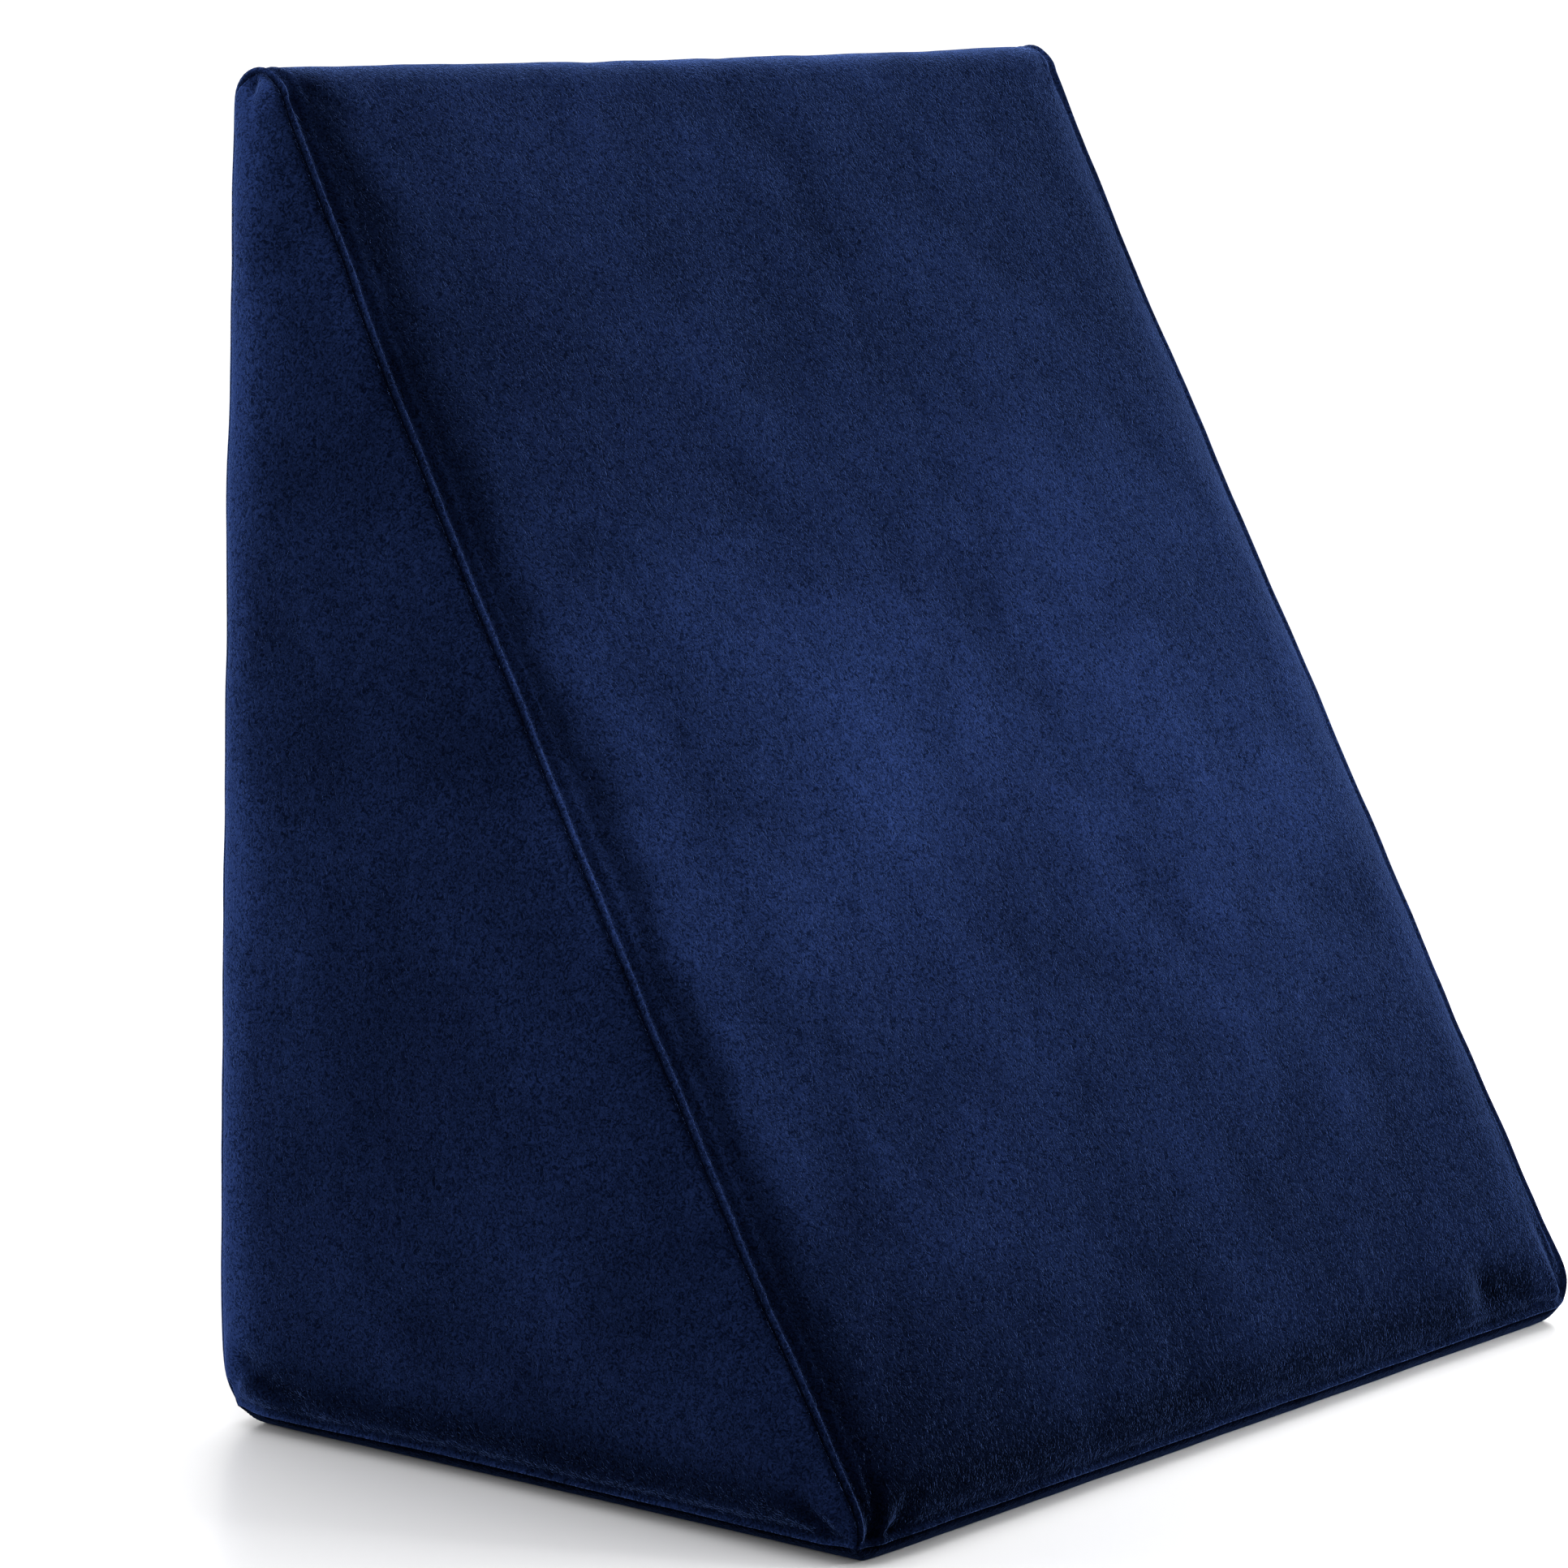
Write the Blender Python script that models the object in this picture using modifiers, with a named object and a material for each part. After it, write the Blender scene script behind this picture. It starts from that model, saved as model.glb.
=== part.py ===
"""Wedge pillow: one filled cushion in a sewn velvet cover.

Frame: metres, +Z up. X runs from side panel to side panel, Y from the toe of
the slope (-Y) to the upright back (+Y). The origin is the bottom centre of the
bounding box, and the pillow stands on the flat middle of its bottom panel.

The cover is a right-triangle prism with a blunt top. The wrap panel is one
cloth: slope, top and back. Two side panels and a bottom panel close it. The
seams are pulled in behind the faces they join, lowest in the middle of each
edge, and every panel rolls off towards its seams.
"""

import bmesh
import bpy
from mathutils import Matrix, Vector

# ---- driving dimensions, metres ------------------------------------------------
WIDTH = 0.500            # X, over both side panels
DEPTH = 0.300            # Y, toe to back
HEIGHT = 0.500           # Z, floor to top
TOP_FLAT = 0.020         # Y, the blunt top between slope and back

SLOPE_CROWN = 0.013      # the slope stands this far over its side seams
BACK_CROWN = 0.004       # the back stands this far over its seams
TOP_CROWN = 0.003        # the rounded top over its corners
SIDE_CROWN = 0.006       # a side panel stands this far over its seams
BOTTOM_SEAM_Z = 0.0045   # height of the bottom seam at the middle of an edge
CORNER_LIFT = 0.0030     # the bottom corners sit this much higher
DRAWN_IN = 0.0040        # the slope seam bows into the side panel by this
DRAWN_IN_X = 0.0020      # the side seams bow inwards by this along X
TOE_SET = 0.0015         # the toe seam sits this far behind the box's front

SEAM_RIDGE = 0.0014      # the seam line stands proud by this
SEAM_GROOVE = 0.0009     # the cloth dips by this on both sides of it

# How far each panel takes to roll off into its seam.
ROLL = {
    #            side seam  bottom seam  top edge
    "slope": {"side": 0.050, "bottom": 0.036, "top": 0.024},
    "back": {"side": 0.022, "bottom": 0.022, "top": 0.018},
    "side": {"slope": 0.026, "back": 0.022, "bottom": 0.024, "top": 0.030},
    "bottom": {"edge": 0.009},
}

# Loops of the cage beside a seam, as distances from it, and the number of
# equal steps between the last loop at one end and the last at the other.
LOOPS = {
    #          from the low end                   to the high end                    steps
    "x": ((0.0, 0.0035, 0.009, 0.022, 0.046), (0.0, 0.0035, 0.009, 0.022, 0.046), 5),
    "y": ((0.0, 0.0035, 0.009, 0.026), (0.0, 0.0035, 0.009, 0.026), 4),
    "z": ((0.0, 0.0035, 0.009, 0.022, 0.046), (0.0, 0.007, 0.018, 0.042), 5),
}


def stations(low, high, steps, length):
    """Fractions of length: the loops near both ends, and equal steps between."""
    a, b = low[-1], length - high[-1]
    inner = [a + (b - a) * n / steps for n in range(1, steps)]
    metres = list(low) + inner + [length - d for d in reversed(high)]
    return [m / length for m in metres]


def roll(distance, reach):
    """1 on the seam, falling smoothly to 0 at reach from it."""
    t = min(max(distance / reach, 0.0), 1.0)
    return (1.0 - t) ** 3


def bow(t):
    """0 at both ends of an edge and 1 at its middle."""
    return 4.0 * t * (1.0 - t)


BASE_LOOP = 2            # the loop from the bottom seam where the flat base begins

FX = stations(*LOOPS["x"], WIDTH)
FY = stations(*LOOPS["y"], DEPTH)
FZ = stations(*LOOPS["z"], HEIGHT)
NX, NY, NZ = len(FX) - 1, len(FY) - 1, len(FZ) - 1

HALF_W, HALF_D = WIDTH / 2, DEPTH / 2

# Corners of the YZ section, at a side seam and at the middle of the width.
CORNERS = {
    #              y, z at the side seam                                        y, z at mid width
    "toe": ((-HALF_D + 0.004, BOTTOM_SEAM_Z + CORNER_LIFT), (-HALF_D + TOE_SET, BOTTOM_SEAM_Z)),
    "heel": ((HALF_D - BACK_CROWN, BOTTOM_SEAM_Z + CORNER_LIFT), (HALF_D - 0.0015, BOTTOM_SEAM_Z)),
    "back_top": ((HALF_D - BACK_CROWN, HEIGHT - 0.005), (HALF_D - BACK_CROWN, HEIGHT - TOP_CROWN)),
    "slope_top": ((HALF_D - TOP_FLAT + 0.001, HEIGHT - 0.005), (HALF_D - TOP_FLAT, HEIGHT - TOP_CROWN)),
}


def corner(name, inside):
    """A section corner; inside is 0 on the side seam and 1 past its roll."""
    (y0, z0), (y1, z1) = CORNERS[name]
    return Vector((y0 + (y1 - y0) * inside, z0 + (z1 - z0) * inside))


def y_fraction(j, width):
    """Loops keep their distance from the seams, and even out near the top."""
    even = j / NY
    t = min(max((width - TOP_FLAT) / (0.5 * DEPTH), 0.0), 1.0)
    t = t * t * (3 - 2 * t)
    return even + (FY[j] - even) * t


def section(i):
    """The four boundary curves of the section at X station i, in YZ."""
    dx = min(FX[i], 1 - FX[i]) * WIDTH
    wide = 1 - roll(dx, ROLL["slope"]["side"])
    tight = 1 - roll(dx, ROLL["back"]["side"])
    toe, heel = corner("toe", wide), corner("heel", tight)
    back_top, slope_top = corner("back_top", tight), corner("slope_top", wide)
    up = slope_top - toe
    run = up.length
    outward = Vector((-up.y, up.x)).normalized()

    front, back, bottom, top = [], [], [], []
    for k in range(NZ + 1):
        t = FZ[k]
        s = t * run
        full = (1 - roll(s, ROLL["slope"]["bottom"])) * (1 - roll(run - s, ROLL["slope"]["top"]))
        height = SLOPE_CROWN * full * wide - DRAWN_IN * bow(t) * (1 - wide)
        front.append(toe + up * t + outward * height)
        rise = t * (back_top.y - heel.y)
        full = (1 - roll(rise, ROLL["back"]["bottom"])) * (1 - roll(back_top.y - heel.y - rise, ROLL["back"]["top"]))
        flat = heel + (back_top - heel) * t
        out = (HALF_D - flat.x) * full * tight - 0.5 * DRAWN_IN * bow(t) * (1 - tight)
        back.append(flat + Vector((out, 0.0)))
    for j in range(NY + 1):
        low = y_fraction(j, DEPTH)
        flat = toe + (heel - toe) * low
        d = min(low, 1 - low) * DEPTH
        full = 1 - roll(d, ROLL["bottom"]["edge"])
        rest = 1 - roll(dx, ROLL["bottom"]["edge"])
        sag = -CORNER_LIFT * bow(low) * (1 - rest)
        bottom.append(Vector((flat.x, (flat.y + sag) * (1 - full * rest))))
        high = y_fraction(j, TOP_FLAT)
        flat = slope_top + (back_top - slope_top) * high
        top.append(flat + Vector((0.0, (HEIGHT - flat.y) * bow(high) * wide)))
    return front, back, bottom, top


SECTIONS = [section(i) for i in range(NX + 1)]


def side_fill(i, j, k):
    """A point inside a side panel: a patch between its four seams."""
    front, back, bottom, top = SECTIONS[i]
    g = FZ[k]
    f = y_fraction(j, (back[k] - front[k]).x)
    ruled = front[k] * (1 - f) + back[k] * f + bottom[j] * (1 - g) + top[j] * g
    corners = (front[0] * (1 - f) + back[0] * f) * (1 - g) + (front[-1] * (1 - f) + back[-1] * f) * g
    return ruled - corners


def side_x(i, j, k, p):
    """X of a side panel's point: crowned inside, drawn in along its edges."""
    front, back, _, _ = SECTIONS[i]
    up = front[-1] - front[0]
    slant = (back[k].x - front[k].x) / DEPTH
    to_slope = (p.x - front[k].x) * up.y / up.length
    to_back = back[k].x - p.x
    to_bottom = p.y - BOTTOM_SEAM_Z
    to_top = HEIGHT - 0.005 - p.y
    reach = ROLL["side"]
    full = 1.0
    for d, r in ((to_slope, reach["slope"]), (to_back, reach["back"]), (to_bottom, reach["bottom"]), (to_top, reach["top"])):
        full *= 1 - roll(d, r)
    edge = max(bow(FZ[k]) if j in (0, NY) else 0.0, bow(FY[j]) * 0.6 if k == 0 else 0.0)
    drawn = DRAWN_IN_X * edge if full == 0.0 else 0.0
    crown = SIDE_CROWN * full * min(1.0, 0.35 + slant * 1.3)
    return HALF_W - SIDE_CROWN + crown - drawn


def place(i, j, k):
    """Where the cage's loop crossing (i, j, k) lies on the cover."""
    front, back, bottom, top = SECTIONS[i]
    if i in (0, NX):
        p = side_fill(i, j, k)
        x = side_x(i, j, k, p)
        return Vector((-x if i == 0 else x, p.x, p.y))
    if k == 0:
        p = bottom[j]
    elif k == NZ:
        p = top[j]
    elif j == 0:
        p = front[k]
    else:
        p = back[k]
    x = (FX[i] - 0.5) * 2
    seam_x = HALF_W - SIDE_CROWN
    near = roll(min(FX[i], 1 - FX[i]) * WIDTH, 0.05)
    edge = bow(FZ[k]) if j in (0, NY) else 0.6 * bow(FY[j]) if k == 0 else 0.0
    return Vector((x * (seam_x - DRAWN_IN_X * edge * near), p.x, p.y))


def seam_distance(i, j, k):
    """0 on a seam, 1 on the loop beside it, more further away."""
    to_side = min(i, NX - i)
    to_bottom = k
    to_ends = min(j, NY - j)
    found = []
    if i in (0, NX):
        found.append(min(to_bottom, to_ends, NZ - k))
    else:
        found.append(to_side)
        if k == 0:
            found.append(to_ends)
        elif j in (0, NY):
            found.append(to_bottom)
    return min(found)


def velvet():
    mat = bpy.data.materials.new("navy_velvet")
    mat.use_nodes = True
    shader = mat.node_tree.nodes["Principled BSDF"]
    shader.inputs["Base Color"].default_value = (0.008, 0.017, 0.062, 1.0)
    shader.inputs["Roughness"].default_value = 0.9
    shader.inputs["Metallic"].default_value = 0.0
    shader.inputs["Sheen Weight"].default_value = 0.6
    return mat


def fit_to_size(obj):
    """Scale the cage so that the smooth cover measures exactly its size."""
    bpy.context.view_layer.update()
    smooth = obj.evaluated_get(bpy.context.evaluated_depsgraph_get()).to_mesh()
    xs, ys, zs = zip(*(v.co for v in smooth.vertices))
    kx = HALF_W / max(xs)
    to_toe = HALF_D / -min(ys)
    kz = HEIGHT / max(zs)
    for v in obj.data.vertices:
        # The back's flat middle is already in place, so only the toe side moves.
        ky = to_toe if v.co.y < 0 else 1.0
        v.co = (v.co.x * kx, v.co.y * ky, v.co.z * kz)


def main():
    for old in list(bpy.data.objects):
        bpy.data.objects.remove(old, do_unlink=True)
    collection = bpy.data.collections.new("wedge_pillow_parts")
    bpy.context.scene.collection.children.link(collection)

    # A cube with one unit for each step of the cage, cut at every unit.
    bm = bmesh.new()
    size = Vector((NX, NY, NZ))
    bmesh.ops.create_cube(bm, size=1.0, matrix=Matrix.Translation(size / 2) @ Matrix.Diagonal((*size, 1.0)))
    for axis, count in enumerate((NX, NY, NZ)):
        for n in range(1, count):
            at, normal = Vector(), Vector()
            at[axis], normal[axis] = n, 1.0
            bmesh.ops.bisect_plane(bm, geom=bm.verts[:] + bm.edges[:] + bm.faces[:], plane_co=at, plane_no=normal)

    index = {v: tuple(round(c) for c in v.co) for v in bm.verts}
    for v, ijk in index.items():
        v.co = place(*ijk)
    bm.normal_update()
    step = {}
    for v, ijk in index.items():
        away = seam_distance(*ijk)
        if away == 0:
            step[v] = v.normal * SEAM_RIDGE
        elif away == 1:
            step[v] = v.normal * -SEAM_GROOVE
    for v, move in step.items():
        v.co += move

    # The edge of the flat the pillow stands on stays sharp.
    crease = bm.edges.layers.float.get("crease_edge") or bm.edges.layers.float.new("crease_edge")
    for edge in bm.edges:
        ends = [index[v] for v in edge.verts]
        if all(k == 0 and BASE_LOOP <= i <= NX - BASE_LOOP and BASE_LOOP <= j <= NY - BASE_LOOP for i, j, k in ends):
            along_x = all(j in (BASE_LOOP, NY - BASE_LOOP) for _, j, _ in ends) and ends[0][1] == ends[1][1]
            along_y = all(i in (BASE_LOOP, NX - BASE_LOOP) for i, _, _ in ends) and ends[0][0] == ends[1][0]
            if along_x or along_y:
                edge[crease] = 1.0

    mesh = bpy.data.meshes.new("wedge_pillow")
    bm.to_mesh(mesh)
    bm.free()
    mesh.shade_smooth()
    mesh.materials.append(velvet())
    pillow = bpy.data.objects.new("wedge_pillow", mesh)
    collection.objects.link(pillow)
    smooth = pillow.modifiers.new("smooth", "SUBSURF")
    smooth.levels = 1
    smooth.render_levels = 1
    fit_to_size(pillow)


main()
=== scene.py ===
"""Looks of the wedge pillow: a taut velvet cover with sewn seams, on a pale floor."""
import math

import bmesh
import bpy
import numpy as np
from mathutils import Matrix, Vector, geometry, kdtree, noise


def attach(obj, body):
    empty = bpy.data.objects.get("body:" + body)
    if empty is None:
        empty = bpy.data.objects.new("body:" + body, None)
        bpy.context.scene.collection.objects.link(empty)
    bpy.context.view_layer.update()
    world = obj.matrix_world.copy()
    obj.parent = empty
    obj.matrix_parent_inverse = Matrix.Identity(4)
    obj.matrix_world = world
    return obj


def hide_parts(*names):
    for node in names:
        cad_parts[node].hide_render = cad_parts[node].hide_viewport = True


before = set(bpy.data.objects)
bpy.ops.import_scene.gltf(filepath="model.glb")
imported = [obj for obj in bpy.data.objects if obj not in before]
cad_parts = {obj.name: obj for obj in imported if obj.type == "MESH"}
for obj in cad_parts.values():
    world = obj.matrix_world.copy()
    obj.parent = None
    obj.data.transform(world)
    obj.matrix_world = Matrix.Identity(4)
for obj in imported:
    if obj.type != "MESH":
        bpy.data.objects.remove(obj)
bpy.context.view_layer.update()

# ---- sizes, metres -------------------------------------------------------------
WIDTH, DEPTH, HEIGHT = 0.498, 0.2955, 0.500
SHIFT_Y = 0.150 - DEPTH / 2           # the upright back stays on the part's back face
TOP_Y = 0.1374           # middle of the blunt top
TOP_FRONT_R = 0.0160     # rounding of the top into the slope
TOP_BACK_R = 0.0100      # rounding of the top into the back
TOE_REACH, TOE_TURN = 0.034, 48.0     # the slope rolls down to the toe seam
HEEL_REACH, HEEL_TURN = 0.020, 22.0   # the back rolls down to the heel seam
SEAM_Z = 0.0070          # bottom seams, at the middle of an edge
CORNER_LIFT = -0.0015    # and this much higher at the corners
SIDE_CROWN = 0.0073      # a side panel stands this far over its seams
DRAW_SLOPE, DRAW_BACK = -0.0030, -0.0020   # side seams bow inwards by this along X
BACK_WIDER = 0.0022      # the back is this much wider on each side
FLAT_IN = 0.0110         # the cover lies flat on the floor from here inwards
TOE_FLAT_IN = 0.0078     # and at the toe, where the slope presses down, from here

# How far the side seam lies behind the wrap panel, and how wide the roll-off is.
SEAM_DEPTH = (
    # part     along  depth    reach
    ("slope", 0.000, 0.0022, 0.024),
    ("slope", 0.050, 0.0056, 0.034),
    ("slope", 0.200, 0.0076, 0.040),
    ("slope", 0.500, 0.0080, 0.040),
    ("slope", 0.800, 0.0074, 0.038),
    ("slope", 0.930, 0.0052, 0.032),
    ("slope", 0.985, 0.0028, 0.020),
    ("back", 0.000, 0.0008, 0.014),
    ("back", 0.014, 0.0008, 0.014),
    ("back", 0.050, 0.0008, 0.018),
    ("back", 0.250, 0.0010, 0.022),
    ("back", 0.600, 0.0010, 0.022),
    ("back", 1.000, 0.0008, 0.017),
)

# Loops beside a seam: distances from it.
FINE = (0.0, 0.0005, 0.0010, 0.0015, 0.0020, 0.0026, 0.0034, 0.0044, 0.0056, 0.0068, 0.0079, 0.0090, 0.0103, 0.0120, 0.0145, 0.0175, 0.0210)

# Across a seam: the wrap panel's cloth folds over it, the other panel's tucks in.
FOLD_OVER = (
    # distance, height
    (0.0000, -0.0022), (0.0005, -0.0002), (0.0010, 0.0011), (0.0016, 0.0012), (0.0025, 0.0001),
    (0.0038, -0.0006), (0.0056, -0.0003), (0.0070, 0.0001), (0.0079, 0.0002), (0.0094, 0.0000), (0.0125, 0.0),
)
TUCK_IN = (
    # distance, height
    (0.0000, -0.0022), (0.0007, -0.0014), (0.0016, -0.0004), (0.0032, 0.0002), (0.0070, 0.0004), (0.0160, 0.0),
)
# Painted highlight and shade across a seam: the pile is painted lighter on the fold's crest and darker in the groove
# and in a band beside it.
FOLD_SHADING = (
    # distance, tone
    (0.0000, 0.40), (0.0006, 0.90), (0.0010, 1.90), (0.0017, 1.90), (0.0025, 1.00),
    (0.0040, 0.48), (0.0062, 0.52), (0.0078, 0.74), (0.0094, 0.46), (0.0140, 0.42), (0.0200, 0.70), (0.0300, 1.0),
)
TUCK_SHADING = (
    # distance, tone
    (0.0000, 0.40), (0.0008, 0.45), (0.0020, 0.80), (0.0040, 1.02), (0.0080, 1.06), (0.0200, 1.0),
)


def pchip(x, table):
    """Smooth curve through a table of (x, y), flat past its ends."""
    X = np.array([r[0] for r in table], float)
    Y = np.array([r[1] for r in table], float)
    h, m = np.diff(X), np.zeros(len(X))
    d = np.diff(Y) / h
    for i in range(1, len(X) - 1):
        if d[i - 1] * d[i] > 0:
            a, b = 2 * h[i] + h[i - 1], h[i] + 2 * h[i - 1]
            m[i] = (a + b) / (a / d[i - 1] + b / d[i])
    x = np.asarray(x, float)
    i = np.clip(np.searchsorted(X, x) - 1, 0, len(X) - 2)
    t = np.clip((x - X[i]) / h[i], 0, 1)
    return (1 + 2 * t) * (1 - t) ** 2 * Y[i] + t * (1 - t) ** 2 * h[i] * m[i] + t * t * (3 - 2 * t) * Y[i + 1] + t * t * (t - 1) * h[i] * m[i + 1]


def roll(d, reach, power=3.0):
    """1 on the seam, falling smoothly to 0 at reach from it."""
    return (1 - np.clip(d / reach, 0, 1)) ** power


def bow(t):
    return 4 * t * (1 - t)


def waves(points, size, seed, depth=2):
    """Smooth noise from -1 to 1 at each point."""
    at = Vector((seed * 3.17, seed * 1.93, seed * 2.41))
    return np.array([noise.fractal(Vector(p) / size + at, 0.6, 2.0, depth) for p in points])


# ---- the section of the wrap panel ---------------------------------------------
def half(start, heading, pieces, step=0.0005):
    """A curve from start made of (length, turn, power) pieces: points and headings."""
    pts, ths, p, h = [np.array([start])], [np.array([heading])], np.array(start, float), heading
    for length, turn, power in pieces:
        n = max(2, int(round(length / step)))
        t = (np.arange(n) + 0.5) / n
        a = h + turn * t ** power
        run = np.cumsum(np.stack([np.cos(a), np.sin(a)], 1), 0) * length / n
        pts.append(p + run)
        ths.append(h + turn * (np.arange(1, n + 1) / n) ** power)
        p, h = p + run[-1], h + turn
    return np.vstack(pts), np.concatenate(ths)


def profile():
    """From the toe seam over the top to the heel seam: length, points, outward normals, length at the top."""
    def front(slant):
        shape = lambda line: half((TOP_Y, HEIGHT), math.pi, [(0.0015, 0, 1), (TOP_FRONT_R * slant, slant, 1), (line, 0, 1), (TOE_REACH, math.radians(TOE_TURN), 2.2)])
        low = shape(0.4)[0][-1, 1] - SEAM_Z
        return shape(0.4 + low / math.sin(slant))
    a, b = math.radians(50), math.radians(70)
    for _ in range(26):
        mid = (a + b) / 2
        if front(mid)[0][:, 0].min() > -DEPTH / 2:
            b = mid
        else:
            a = mid
    f, ft = front((a + b) / 2)
    shape = lambda line: half((TOP_Y, HEIGHT), 0.0, [(0.0005, 0, 1), (TOP_BACK_R * math.pi / 2, -math.pi / 2, 1), (line, 0, 1), (HEEL_REACH, -math.radians(HEEL_TURN), 2.2)])
    r, rt = shape(0.4 + shape(0.4)[0][-1, 1] - SEAM_Z)
    r[:, 0] += DEPTH / 2 - r[:, 0].max()
    pts = np.vstack([f[::-1], r[1:]])
    th = np.unwrap(np.concatenate([ft[::-1] + math.pi, rt[1:]]))
    s = np.concatenate([[0], np.cumsum(np.linalg.norm(np.diff(pts, axis=0), axis=1))])
    return s, pts, np.stack([-np.sin(th), np.cos(th)], 1), s[len(f) - 1]


S, SECTION, NORMALS, S_TOP = profile()
S_END = S[-1]
ALONG = [(a * S_TOP if part == "slope" else S_TOP + a * (S_END - S_TOP), depth, reach) for part, a, depth, reach in SEAM_DEPTH]
ALONG = sorted(ALONG)
ALONG = [r for n, r in enumerate(ALONG) if n == 0 or r[0] - ALONG[n - 1][0] > 1e-6]


def graded(length, step, fine_low, fine_high, extra=()):
    """Stations: fine beside the ends, even between; extra is (low, high, step) ranges that are finer."""
    marks = list(fine_low)
    at, end = fine_low[-1], length - fine_high[-1]
    while at < end - 0.3 * step:
        here = step
        for lo, hi, fine in extra:
            if lo <= at < hi:
                here = fine
        at += min(here, step)
        marks.append(at)
    marks[len(fine_low):] = [fine_low[-1] + (m - fine_low[-1]) * (end - fine_low[-1]) / (marks[-1] - fine_low[-1]) for m in marks[len(fine_low):]]
    return np.array(marks + [length - d for d in reversed(fine_high[:-1])])


STEP = 0.0042
SS = graded(S_END, STEP, FINE, FINE, [(S_TOP - 0.035, S_TOP + 0.03, 0.0022)])
XX = graded(WIDTH - 2 * SIDE_CROWN, STEP, FINE, FINE)
YY = graded(DEPTH, 0.0052, FINE, FINE)


def wrap_points(s, side_d, side, x_nominal):
    """Macro shape of the wrap panel at length s, distance side_d from the nearer side seam."""
    y, z = np.interp(s, S, SECTION[:, 0]), np.interp(s, S, SECTION[:, 1])
    ny, nz = np.interp(s, S, NORMALS[:, 0]), np.interp(s, S, NORMALS[:, 1])
    k = np.hypot(ny, nz)
    ny, nz = ny / k, nz / k
    depth = pchip(s, [(a, d) for a, d, _ in ALONG])
    reach = pchip(s, [(a, r) for a, _, r in ALONG])
    h = -depth * roll(side_d, reach)
    lift = CORNER_LIFT * roll(side_d, 0.035, 2.0) * (np.exp(-s / 0.03) + np.exp(-(S_END - s) / 0.03))
    t = np.where(s < S_TOP, s / S_TOP, (s - S_TOP) / (S_END - S_TOP))
    x = x_nominal - side * np.where(s < S_TOP, DRAW_SLOPE, DRAW_BACK) * bow(t) * roll(side_d, 0.10, 2.0)
    x = x + side * BACK_WIDER * np.clip((s - S_TOP + 0.012) / 0.03, 0, 1) * roll(side_d, 0.10, 2.0)
    return np.stack([x, y + ny * h, z + nz * h + lift], -1)


# ---- the mesh: structured along every seam -------------------------------------
verts, faces = [], []      # arrays of points, tuples of indices
info = {"panel": [], "to_side": [], "to_toe": [], "to_heel": [], "to_end": []}


def add(points):
    first = sum(len(v) for v in verts)
    verts.append(np.asarray(points, float))
    return first + np.arange(len(points))


nS, nX, nY = len(SS), len(XX), len(YY)
half_seam = WIDTH / 2 - SIDE_CROWN
gs, gx = np.meshgrid(SS, XX, indexing="ij")
side = np.where(gx < half_seam, -1.0, 1.0)
side_d = np.minimum(gx, 2 * half_seam - gx)
wrap = wrap_points(gs.ravel(), side_d.ravel(), side.ravel(), (gx - half_seam).ravel())
WRAP = add(wrap).reshape(nS, nX)
for i in range(nS - 1):
    for j in range(nX - 1):
        faces.append((WRAP[i, j], WRAP[i, j + 1], WRAP[i + 1, j + 1], WRAP[i + 1, j]))

# The bottom panel shares the wrap's first and last rows.
toe_row, heel_row = wrap.reshape(nS, nX, 3)[0], wrap.reshape(nS, nX, 3)[-1]
f = YY / DEPTH
BOTTOM = np.zeros((nY, nX), int)
BOTTOM[0], BOTTOM[-1] = WRAP[0], WRAP[-1]
inner = f[1:-1, None, None]
flat = toe_row[None] * (1 - inner) + heel_row[None] * inner
d_end = np.minimum(YY[1:-1], DEPTH - YY[1:-1])[:, None]
d_x = side_d[0][None, :]
edge_z = SEAM_Z + (flat[..., 2] - SEAM_Z) * (1 - 0.8 * bow(inner[..., 0]) * roll(d_x, 0.03))
end_in = np.where(YY[1:-1] < DEPTH / 2, TOE_FLAT_IN, FLAT_IN)[:, None]
flat[..., 2] = edge_z * np.maximum(roll(d_end, end_in, 1.5), roll(d_x, FLAT_IN, 1.5))
flat[..., 0] += 0.0015 * bow(inner[..., 0]) * np.where(gx[0] < half_seam, 1, -1)[None] * roll(d_x, 0.05)
BOTTOM[1:-1] = add(flat.reshape(-1, 3)).reshape(nY - 2, nX)
for i in range(nY - 1):
    for j in range(nX - 1):
        faces.append((BOTTOM[i, j], BOTTOM[i + 1, j], BOTTOM[i + 1, j + 1], BOTTOM[i, j + 1]))

base = np.vstack(verts)


def rim_distance(points, line):
    """Distance from each 2D point to a polyline, and how far along it the nearest spot is (0 to 1)."""
    a, b = line[:-1], line[1:]
    ab = b - a
    run = np.concatenate([[0], np.cumsum(np.linalg.norm(ab, axis=1))])
    best, where = np.full(len(points), 9.0), np.zeros(len(points))
    for n in range(len(a)):
        t = np.clip(((points - a[n]) @ ab[n]) / max(ab[n] @ ab[n], 1e-18), 0, 1)
        d = np.linalg.norm(points - (a[n] + t[:, None] * ab[n]), axis=1)
        near = d < best
        best[near] = d[near]
        where[near] = (run[n] + t[near] * (run[n + 1] - run[n])) / run[-1]
    return best, where


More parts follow.
